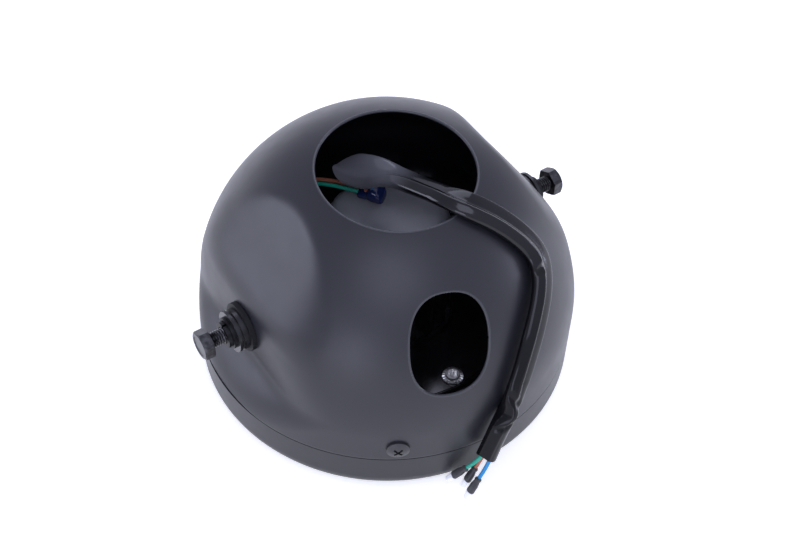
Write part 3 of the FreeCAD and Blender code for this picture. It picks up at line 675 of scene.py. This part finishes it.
print("kink: %.0f mm from the lower end" % KINK_AT)

# %% [markdown]
# The wires fill one side of the sleeve as a round lobe, and the other side is a flat flap, folded sharp
# at its edge. The upper end is wide and cut on a slant, and the lower end is torn and nearly round. The
# outer and inner skins are one surface that turns back on itself at both ends, so the tube has a wall.

# %% Sleeve
SLEEVE_DIAMETER, SLEEVE_WALL = 11.0, 0.6
AROUND_SLEEVE, ALONG_SLEEVE = 64, 340
HALF_WIDTH, HALF_THICKNESS = 7.0, 3.7
MOUTH_SLANT, MOUTH_TURN, MOUTH_WIDER, MOUTH_THINNER = 22.0, math.radians(80.0), 1.6, 0.9
TORN_DEPTH, TORN_TURN = 2.6, 0.7
FOLD_AT, FOLD_WIDTH, FOLD_WIDER = 104.0, 7.0, 0.4
PINCH_NARROWER, PINCH_THICKER = 2.2, 0.9
ROUND_FROM, ROUND_REACH, ROUND_NARROWER, ROUND_THICKER = 46.0, 14.0, 1.5, 0.9
LOBE_FROM, LOBE_REACH = -0.15, 0.55
FLAP_THINNER, FLAP_OPEN = 0.72, 0.6
WAVE_HEIGHT = 0.05


def sleeve_surface(inset):
    """The flattened tube, set in by inset.

    A point is the line's point, plus half width times cosine along the skin, plus half thickness times
    sine outwards, thinned on the flap's side and dented on the outer side. Each outline starts and
    ends at a distance that changes with the turn, which makes the slanted cut and the torn edge.
    """
    turn = full_turn(AROUND_SLEEVE)
    sideways, outwards = np.cos(turn), np.sin(turn)
    start = MOUTH_SLANT * (0.5 - 0.5 * np.cos(turn - MOUTH_TURN))
    finish = sleeve_length - TORN_DEPTH * (0.5 + 0.5 * np.sin(2 * turn + TORN_TURN))
    along = start + np.linspace(0, 1, ALONG_SLEEVE)[:, None] * (finish - start)
    from_end = sleeve_length - along
    mouth = hump(along, MOUTH_AT, MOUTH_REACH)
    pinch = hump(from_end, PINCH_AT, PINCH_WIDTH)
    fold = hump(from_end, FOLD_AT, FOLD_WIDTH)
    rounded = np.clip((ROUND_FROM - from_end) / ROUND_REACH, 0.0, 1.0)
    wave = WAVE_HEIGHT * (np.sin(along / 6.1) + 0.6 * np.sin(along / 3.7 + 1.3))
    wider = MOUTH_WIDER * mouth + FOLD_WIDER * fold
    narrower = PINCH_NARROWER * pinch + ROUND_NARROWER * rounded
    half_width = HALF_WIDTH + wider - narrower + wave
    thicker = PINCH_THICKER * pinch + ROUND_THICKER * rounded - MOUTH_THINNER * mouth
    half_thickness = HALF_THICKNESS + thicker + wave
    lobe = np.clip((sideways - LOBE_FROM) / LOBE_REACH, 0.0, 1.0)
    lobe = lobe * lobe * (3.0 - 2.0 * lobe)
    flap = (1.0 - lobe) * (1.0 - rounded) * (1.0 - FLAP_OPEN * mouth)
    dent = sleeve_dents(from_end, sideways, lobe) * np.maximum(outwards, 0.0)
    width = (half_width - inset) * sideways
    height = (half_thickness - inset) * outwards * (1.0 - FLAP_THINNER * flap) - dent
    line, side, away = sleeve_frame(along)
    return line + width[..., None] * side + height[..., None] * away


sleeve_skins = np.concatenate([sleeve_surface(0.0), sleeve_surface(SLEEVE_WALL)[::-1]])
sleeve_mesh = make_mesh("sleeve", [sleeve_skins], loop=True)
sleeve = add_surface("sleeve", sleeve_mesh, "sleeve_black", ["harness_sleeve"], 60.0)

# %% [markdown]
# The bucket is a pressed shell: a short skirt, a spherical back, and on each side a scoop where the
# metal is drawn in flat round the bolt. The scoop is an outline that depends on height alone: an
# upright seat at the bolt, a slope that leans in above it and a flatter one that leans out below it.
# Smooth minimums and maximums round them into each other, as a press would.

# %% Pressed sides
SEAT_DISTANCE = 81.0
SEAT_BOTTOM, SEAT_TOP = 44.5, 80.0
UPPER_SLOPE = math.tan(math.radians(36.4))
LOWER_SLOPE = math.tan(math.radians(45.0))
UPPER_ROUNDING, LOWER_ROUNDING = 5.0, 4.0
HOLLOW_DEPTH, HOLLOW_AT, HOLLOW_REACH = 1.3, 92.0, 14.0


def smooth_minimum(first, second, reach):
    """The smaller of two values, rounded off where they differ by less than reach."""
    overlap = np.maximum(reach - np.abs(first - second), 0.0) / reach
    return np.minimum(first, second) - overlap * overlap * reach / 4


def smooth_maximum(first, second, reach):
    """The larger of two values, rounded off in the same way."""
    return -smooth_minimum(-first, -second, reach)


def scoop(height):
    """How far from the middle the pressed side may lie at a height, a little hollow above the seat."""
    upper = SEAT_DISTANCE - (height - SEAT_TOP) * UPPER_SLOPE
    lower = SEAT_DISTANCE + (SEAT_BOTTOM - height) * LOWER_SLOPE
    seat = smooth_minimum(np.full_like(height, SEAT_DISTANCE), upper, UPPER_ROUNDING)
    hollow = HOLLOW_DEPTH * hump(height, HOLLOW_AT, HOLLOW_REACH)
    return smooth_maximum(seat - hollow, lower, LOWER_ROUNDING)


print("seat: %.1f mm from the middle" % SEAT_DISTANCE)

# %% [markdown]
# Modelling the shell by hand would leave lumps in its reflections, so it is a formula too. A meridian
# runs up the skirt and over the sphere to the edge of the rear hole. Then the sideways distance of
# every point is held under the scoop by a smooth minimum, which gives the ridges of pressed metal:
# crisp near the top, where the sheet is bent most, and soft lower down.

# %% Bucket skin
SHELL_RADIUS = 95.0
SKIRT_BOTTOM = 24.5
REAR_HOLE_RADIUS, REAR_HOLE_SHIFT = 38.5, 5.0
RIDGE_HEIGHTS = [70.0, 98.0, 118.0]
RIDGE_ROUNDINGS = [11.0, 8.0, 1.6]
UNPRESSED_MIDDLE = 20.0


def bucket_surface(around=384, skirt_rows=12, dome_rows=104):
    """The skirt and dome as a grid of meridians, each point's sideways distance held under the scoop."""
    bearing = full_turn(around)
    skirt = np.linspace(SKIRT_BOTTOM, DOME_CENTRE, skirt_rows, endpoint=False)[:, None]
    reach = np.sqrt(REAR_HOLE_RADIUS ** 2 - (REAR_HOLE_SHIFT * np.cos(bearing)) ** 2)
    hole_edge = reach - REAR_HOLE_SHIFT * np.sin(bearing)
    rise = np.linspace(0, 1, dome_rows)[:, None] * np.arccos(hole_edge / SHELL_RADIUS)
    skirt_radius = np.full((skirt_rows, around), SHELL_RADIUS)
    radius = np.concatenate([skirt_radius, SHELL_RADIUS * np.cos(rise)])
    height = np.concatenate([skirt + 0 * bearing, DOME_CENTRE + SHELL_RADIUS * np.sin(rise)])
    x, y = radius * np.cos(bearing), radius * np.sin(bearing)
    rounding = np.interp(height, RIDGE_HEIGHTS, RIDGE_ROUNDINGS)
    held = smooth_minimum(np.abs(x), scoop(height), rounding)
    x = np.sign(x) * np.where(np.abs(x) > UNPRESSED_MIDDLE, held, np.abs(x))
    return np.stack([x, y, height], axis=-1)


skin_mesh = make_mesh("bucket", [bucket_surface()])
print("bucket skin:", len(skin_mesh.polygons), "faces")

# %% [markdown]
# The shell has an oval hole near six o'clock, and holes for the bolts and the clamp screws. Each is
# cut by a bar that goes through the sheet. The oval's own directions come from its bearing, its
# elevation and its lean.

# %% Bars for the holes
OVAL_HALF_LENGTH, OVAL_HALF_WIDTH, OVAL_POWER = 25.0, 19.5, 2.4
OVAL_AZIMUTH, OVAL_ELEVATION, OVAL_LEAN = np.radians([13.1, 30.0, 7.6])
OVAL_BAR_START, OVAL_BAR_LENGTH = 70.0, 50.0
BOLT_HEIGHT, BOLT_HOLE_RADIUS = 61.2, 4.3
SCREW_HEIGHT, SCREW_HOLE_RADIUS = 33.3, 2.8
SCREW_BEARING = math.radians(-90.0 - 29.7)
BAR_REACH = 110.0


def level_way(bearing):
    """The level direction at a bearing from X towards Y."""
    return math.cos(bearing) * ACROSS + math.sin(bearing) * TWELVE


def bar(start, way, first, second, length, around, power=2.0):
    """A closed bar: a superellipse with half axes first and second, carried straight along way."""
    wide, high = superellipse(full_turn(around), power)
    outline = wide[:, None] * first + high[:, None] * second
    ends = start + np.array([0.0, 0.0, length, length])[:, None] * way
    size = np.array([0.0, 1.0, 1.0, 0.0])
    return ends[:, None, :] + size[:, None, None] * outline


def cross_bar(way, height, radius):
    """A round bar right through the lamp along a level direction, at a height."""
    side = np.cross(UPWARDS, way)
    start = UPWARDS * height - way * BAR_REACH
    return bar(start, way, side * radius, UPWARDS * radius, 2 * BAR_REACH, around=32)


oval_level = level_way(-math.pi / 2 - OVAL_AZIMUTH)
oval_out = oval_level * np.cos(OVAL_ELEVATION) + UPWARDS * np.sin(OVAL_ELEVATION)
oval_across = unit(np.cross(UPWARDS, oval_out))
oval_upright = np.cross(oval_out, oval_across)
oval_long = oval_upright * np.cos(OVAL_LEAN) + oval_across * np.sin(OVAL_LEAN)
oval_short = np.cross(oval_out, oval_long)
dome_middle = UPWARDS * DOME_CENTRE
hole_bars = [
    bar(dome_middle + oval_out * OVAL_BAR_START, oval_out, oval_long * OVAL_HALF_LENGTH,
        oval_short * OVAL_HALF_WIDTH, OVAL_BAR_LENGTH, around=96, power=OVAL_POWER),
    cross_bar(ACROSS, BOLT_HEIGHT, BOLT_HOLE_RADIUS),
    cross_bar(level_way(SCREW_BEARING), SCREW_HEIGHT, SCREW_HOLE_RADIUS),
]
print("bars:", len(hole_bars))

# %% [markdown]
# The skin gets its thickness from Solidify, and a Boolean cuts the bars out of it after that, so each
# hole has a wall of sheet metal. A narrow bevel rounds the cut edges. The result is kept as a plain
# mesh.

# %% Bucket shell
SHELL_WALL = 1.5
CUT_EDGE = 0.55


def cut_holes(skin, bars):
    """Thicken a skin inwards, cut the bars out of it, round the cut edges and return the plain mesh."""
    holder = bpy.data.objects.new("thick", skin)
    cutter = bpy.data.objects.new("bars", make_mesh("bars", bars))
    for item in (holder, cutter):
        bpy.context.collection.objects.link(item)
    thick = holder.modifiers.new("thick", "SOLIDIFY")
    thick.thickness = SHELL_WALL * MM
    thick.offset = -1.0
    thick.use_even_offset = True
    hole = holder.modifiers.new("holes", "BOOLEAN")
    hole.object = cutter
    hole.operation = "DIFFERENCE"
    hole.solver = "EXACT"
    soft = holder.modifiers.new("edges", "BEVEL")
    soft.width = CUT_EDGE * MM
    soft.segments = 3
    soft.limit_method = "ANGLE"
    soft.angle_limit = math.radians(50.0)
    finished = holder.evaluated_get(bpy.context.evaluated_depsgraph_get())
    mesh = bpy.data.meshes.new_from_object(finished)
    for item in (holder, cutter):
        bpy.data.objects.remove(item)
    return mesh


add_surface("bucket", cut_holes(skin_mesh, hole_bars), "shell_paint", ["bucket_shell"], 35.0)

# %% [markdown]
# The sheet's edges at both large holes are rounded over, and that round draws a thin pale line along
# them in the light. A bevel could be that wide only on a coarser grid, so each edge is a bead instead:
# a small circle carried along the hole's edge at the middle of the sheet. The bead is painted lighter
# than the shell, a painted highlight that makes the line paler still.

# %% Rounded hole edges
BEAD_RADIUS = 0.8
MIDDLE_RADIUS = SHELL_RADIUS - SHELL_WALL / 2
PATH_POINTS = 200


def ring(radius):
    """Points evenly spaced round a level circle about the lamp's axis."""
    turn = full_turn(PATH_POINTS)[:, None]
    return radius * (np.cos(turn) * ACROSS + np.sin(turn) * TWELVE)


def bead(path, radius, around=14):
    """A small circle carried along a closed path, upright to the path at every point."""
    way = unit(np.roll(path, -1, axis=0) - np.roll(path, 1, axis=0))
    away = square_to(way, path - dome_middle)
    side = np.cross(way, away)
    turn = full_turn(around)
    return carry(path, radius * np.cos(turn), side[:, None, :], radius * np.sin(turn), away[:, None, :])


def on_sphere(offset, out):
    """Points at sideways offsets from the dome's centre, carried out to the middle of the sheet."""
    depth = np.sqrt(MIDDLE_RADIUS ** 2 - (offset ** 2).sum(1, keepdims=True))
    return dome_middle + offset + depth * out


rear_offset = (ring(REAR_HOLE_RADIUS) - TWELVE * REAR_HOLE_SHIFT) * MIDDLE_RADIUS / SHELL_RADIUS
wide, high = superellipse(full_turn(PATH_POINTS)[:, None], OVAL_POWER)
oval_offset = wide * oval_long * OVAL_HALF_LENGTH + high * oval_short * OVAL_HALF_WIDTH
edge_paths = [on_sphere(rear_offset, UPWARDS), on_sphere(oval_offset, oval_out)]
edges_mesh = make_mesh("hole_edges", [bead(path, BEAD_RADIUS) for path in edge_paths], loop=True)
# The beads take a paint lighter than the shell's: a painted highlight.
add_surface("hole_edges", edges_mesh, "shell_paint", [], finish="edge_highlight_paint")

# %% [markdown]
# The mounting bolts are forged hexagon bolts with a rolled thread. A texture could fake the thread, but
# it shows in outline, so it is real: the radius rises and falls once in each pitch, and the wave is
# carried round by one pitch a turn, which makes it a helix.

# %% Bolt thread
BOLT_TIP, HEAD_SEAT = 70.0, 100.0
BOLT_RADIUS, THREAD_DEPTH, THREAD_PITCH, THREAD_SHARPNESS = 3.98, 0.55, 1.25, 1.3
TIP_RADIUS, TIP_TAPER = 3.1, 0.9


def turned(radius, length, turn, axis, first, second):
    """A surface turned about an axis: length along it, and the radius swung from first to second."""
    swing = np.cos(turn)[:, None] * first + np.sin(turn)[:, None] * second
    return length[..., None] * axis + radius[..., None] * swing


def bolt_thread(around=40, rows_a_pitch=8):
    """A screw thread along X: the radius is a sharp wave of length over pitch less turn, with a taper."""
    rows = int((HEAD_SEAT - BOLT_TIP) / THREAD_PITCH * rows_a_pitch) + 1
    length = np.linspace(BOLT_TIP, HEAD_SEAT, rows)[:, None]
    turn = full_turn(around)
    phase = (length / THREAD_PITCH - turn / (2 * np.pi)) % 1.0
    radius = BOLT_RADIUS - THREAD_DEPTH * np.abs(2 * phase - 1.0) ** THREAD_SHARPNESS
    radius = np.minimum(radius, TIP_RADIUS + (length - BOLT_TIP) * TIP_TAPER)
    radius[[0, -1]] = 0.0
    return turned(radius, length, turn, ACROSS, TWELVE, UPWARDS)


print("thread: %d turns" % ((HEAD_SEAT - BOLT_TIP) / THREAD_PITCH))

# %% [markdown]
# A forged head is turned with a cone at its corners, which leaves the curved chamfers of a real bolt.
# So the hexagon's radius is also held inside a cone at the top and another at the seat, and its top is
# dished a little. Each bolt is turned half round to make the one on the other side.

# %% Mounting bolts
HEAD_HEIGHT, HEAD_FLATS = 5.3, 13.0
TOP_CONE, SEAT_CONE, SEAT_EDGE = 1.5, 2.2, 0.55
DISH_RADII, DISH_DROPS = [5.6, 5.0, 0.0], np.array([0.0, 0.35, 0.35])


def bolt_head(around=96, wall_rows=22):
    """A hexagon whose radius is held inside two cones, closed by a flat seat and a dished top."""
    turn = full_turn(around)
    hexagon = HEAD_FLATS / 2 / np.cos((turn + np.pi / 6) % (np.pi / 3) - np.pi / 6)
    height = np.linspace(0, HEAD_HEIGHT, wall_rows)[:, None]
    top_cone = HEAD_FLATS / 2 + (HEAD_HEIGHT - height) * TOP_CONE
    seat_cone = HEAD_FLATS / 2 + SEAT_EDGE + height * SEAT_CONE
    wall = np.minimum(np.minimum(hexagon, top_cone), seat_cone)
    dish = np.array(DISH_RADII)[:, None] * np.ones(around)
    radius = np.concatenate([np.zeros((1, around)), wall, dish])
    lift = np.concatenate([[0.0], height[:, 0], HEAD_HEIGHT - DISH_DROPS])[:, None]
    return turned(radius, HEAD_SEAT + lift, turn, ACROSS, TWELVE, UPWARDS)


bolt_grids = []
for side in (1.0, -1.0):
    for grid in (bolt_thread(), bolt_head()):
        bolt_grids.append(grid * [side, side, 1.0] + UPWARDS * BOLT_HEIGHT)
add_surface("bolts", make_mesh("bolts", bolt_grids), "bolt_steel", ["mount_bolts"], 30.0)

# %% [markdown]
# Flange screws hold the lamp unit together: a zinc head with a toothed flange that bites into the
# plastic, and a six-lobed socket. The head is a turned profile whose radius is waved by the lobes and
# whose height is stepped by the teeth as it goes round.

# %% Flange screws
SCREW_CIRCLE, FLOOR_TOP, SCREW_TIP = 60.0, 31.0, 17.0
SHANK_RADIUS = 1.95
SCREW_STATIONS = np.array([
    (0.0, 0.0, 0.0, 0.0), (5.4, 0.0, 0.0, 0.0), (5.4, 0.4, 0.0, 0.0), (5.2, 0.7, 0.3, 0.0),
    (3.9, 0.9, 0.3, 0.0), (3.6, 1.0, 0.0, 0.0), (3.4, 2.0, 0.0, 0.0), (3.2, 2.3, 0.0, 0.0),
    (2.6, 2.3, 0.0, 0.3), (2.5, 0.1, 0.0, 0.3), (0.0, 0.1, 0.0, 0.0),
])


def flange_screw(around=120, teeth=20, lobes=6):
    """A turned head: each station is (radius, height, tooth height, lobe depth)."""
    turn = full_turn(around)
    radius, height, tooth, lobe = SCREW_STATIONS.T[..., None]
    radius = radius + lobe * np.cos(lobes * turn)
    lift = height + tooth * (0.5 + 0.5 * np.tanh(3.0 * np.sin(teeth * turn)))
    return turned(radius, lift, turn, UPWARDS, ACROSS, TWELVE)


shank = bar(UPWARDS * SCREW_TIP, UPWARDS, ACROSS * SHANK_RADIUS, TWELVE * SHANK_RADIUS,
            FLOOR_TOP - SCREW_TIP, around=24)
screw_grids = []
for bearing in np.radians([-90.0, 30.0, 150.0]):
    spot = SCREW_CIRCLE * level_way(bearing)
    screw_grids += [flange_screw() + spot + UPWARDS * FLOOR_TOP, shank + spot]
screws_mesh = make_mesh("flange_screws", screw_grids)
add_surface("flange_screws", screws_mesh, "screw_zinc", ["unit_screws"], 30.0)

# %% [markdown]
# A glossy raised rim runs round the lamp unit's floor outside its screws, and it is what gleams in the
# dark of the oval hole. It is a bead along a circle, like the hole edges.

# %% Floor rim
RIM_RADIUS, RIM_ROUND, RIM_RISE = 66.8, 1.2, 0.4

rim_path = ring(RIM_RADIUS) + UPWARDS * (FLOOR_TOP + RIM_RISE)
rim_mesh = make_mesh("floor_rim", [bead(rim_path, RIM_ROUND, around=20)], loop=True)
add_surface("floor_rim", rim_mesh, "unit_black", [])

# %% [markdown]
# The wires leave the lamp unit through a small glossy gland: a thick rounded bead with a flatter tongue
# that the leads lie in. It is a loft with a superellipse outline, low at the tongue and high at the
# bead, with a waist between, so that each part catches its own highlight.

# %% Wire gland
GLAND_MIDDLE = np.array([0.0, 15.0, 92.0])
GLAND_WAY = np.array([-0.6, 0.8, 0.0])
GLAND_POWER = 3.2
GLAND_STATIONS = np.array([
    (-6.6, 0.0, 0.0), (-6.6, 2.8, 1.9), (-6.2, 3.9, 3.6), (-5.2, 4.7, 5.4), (-3.4, 5.1, 6.9),
    (-1.2, 5.0, 7.6), (0.6, 4.6, 7.3), (1.4, 4.0, 6.1), (2.1, 4.1, 5.2), (3.2, 4.4, 4.7),
    (5.0, 4.2, 4.3), (6.2, 3.5, 3.5), (6.6, 2.8, 2.6), (6.6, 0.0, 0.0),
])


def gland_surface(rows=90, around=48):
    """Outlines along the gland: each station is (distance, half width, height above the cover)."""
    coarse = np.arange(len(GLAND_STATIONS))
    fine = np.linspace(0, coarse[-1], rows)
    stations = np.stack([np.interp(fine, coarse, column) for column in GLAND_STATIONS.T])
    distance, half_width, height = stations[..., None]
    first, second = superellipse(full_turn(around), GLAND_POWER)
    middle = GLAND_MIDDLE + distance * GLAND_WAY
    lift = height / 2 * (1.0 + second)
    return carry(middle, half_width * first, np.cross(GLAND_WAY, UPWARDS), lift, UPWARDS)


add_surface("gland", make_mesh("gland", [gland_surface()]), "grommet_blue", ["wire_grommet"], 50.0)

# %% [markdown]
# The lamp stands on a seamless white floor, as in a studio for small goods. The floor glows a little,
# which keeps it white in the picture without strong lamps that would wash out the black paint.

# %% Floor
FLOOR_HALF = 6.0

floor_corners = [(-FLOOR_HALF, -FLOOR_HALF, 0), (FLOOR_HALF, -FLOOR_HALF, 0),
                 (FLOOR_HALF, FLOOR_HALF, 0), (-FLOOR_HALF, FLOOR_HALF, 0)]
floor_mesh = bpy.data.meshes.new("floor")
floor_mesh.from_pydata(floor_corners, [], [(0, 1, 2, 3)])
floor = bpy.data.objects.new("floor", floor_mesh)
floor_plain = {"Base Color": rgb(0.88, 0.88, 0.88), "Roughness": 0.9, "Emission Strength": 0.5,
               "Emission Color": rgb(1.0, 1.0, 1.0)}
add_finish("floor_white", floor_plain, lambda place: {})
floor_mesh.materials.append(finishes["floor_white"])
bpy.context.collection.objects.link(floor)
print("floor: %.0f m across" % (2 * FLOOR_HALF))

# %% [markdown]
# Black paint shows its form by long soft gradients, so the lamps are large and soft: two behind, two
# low at the sides and one over the camera. Each is a square area lamp, given by its place and size in
# metres and its power in watts.

# %% Lamps
LAMP_AIM = Vector((0.0, 0.0, 0.06))
COOL = (0.77, 0.80, 1.0)
LAMPS = {
    "back_left": ((-1.2, 0.78, 0.40), 0.7, 6.5),
    "back_right": ((0.9, 1.1, 1.3), 1.2, 9.0),
    "right": ((1.5, -0.65, 0.22), 0.4, 5.0),
    "front_top": ((-0.55, -0.95, 1.55), 1.0, 7.0),
    "left": ((-1.25, -1.0, 0.25), 0.6, 4.0),
}

for name, (place, size, power) in LAMPS.items():
    light = bpy.data.lights.new(name, "AREA")
    light.shape = "SQUARE"
    light.size = size
    light.energy = power
    light.color = COOL
    holder = bpy.data.objects.new(name, light)
    holder.location = place
    holder.rotation_euler = (LAMP_AIM - Vector(place)).to_track_quat("-Z", "Y").to_euler()
    bpy.context.collection.objects.link(holder)
print("lamps:", len(LAMPS))

# %% [markdown]
# Round everything is the even cool light of a light tent. It is dimmer on the side away from the
# camera, so that the near and far sides of the shell don't mirror quite the same white.

# %% Light tent
TENT_COLOUR = rgb(0.77, 0.79, 1.0)
TENT_GLOW, TENT_FALL = 1.02, 0.30

world = bpy.data.worlds.new("tent")
world.use_nodes = True
tree = world.node_tree
background = tree.nodes["Background"]
directions = Flow(tree, tree.nodes.new("ShaderNodeTexCoord").outputs["Generated"])
glow = directions.axis(1).between(-0.8, 0.4) * -TENT_FALL + TENT_GLOW
background.inputs["Color"].default_value = TENT_COLOUR
tree.links.new(glow.socket, background.inputs["Strength"])
bpy.context.scene.world = world
bpy.context.scene.view_settings.view_transform = "Standard"
print("tent set")
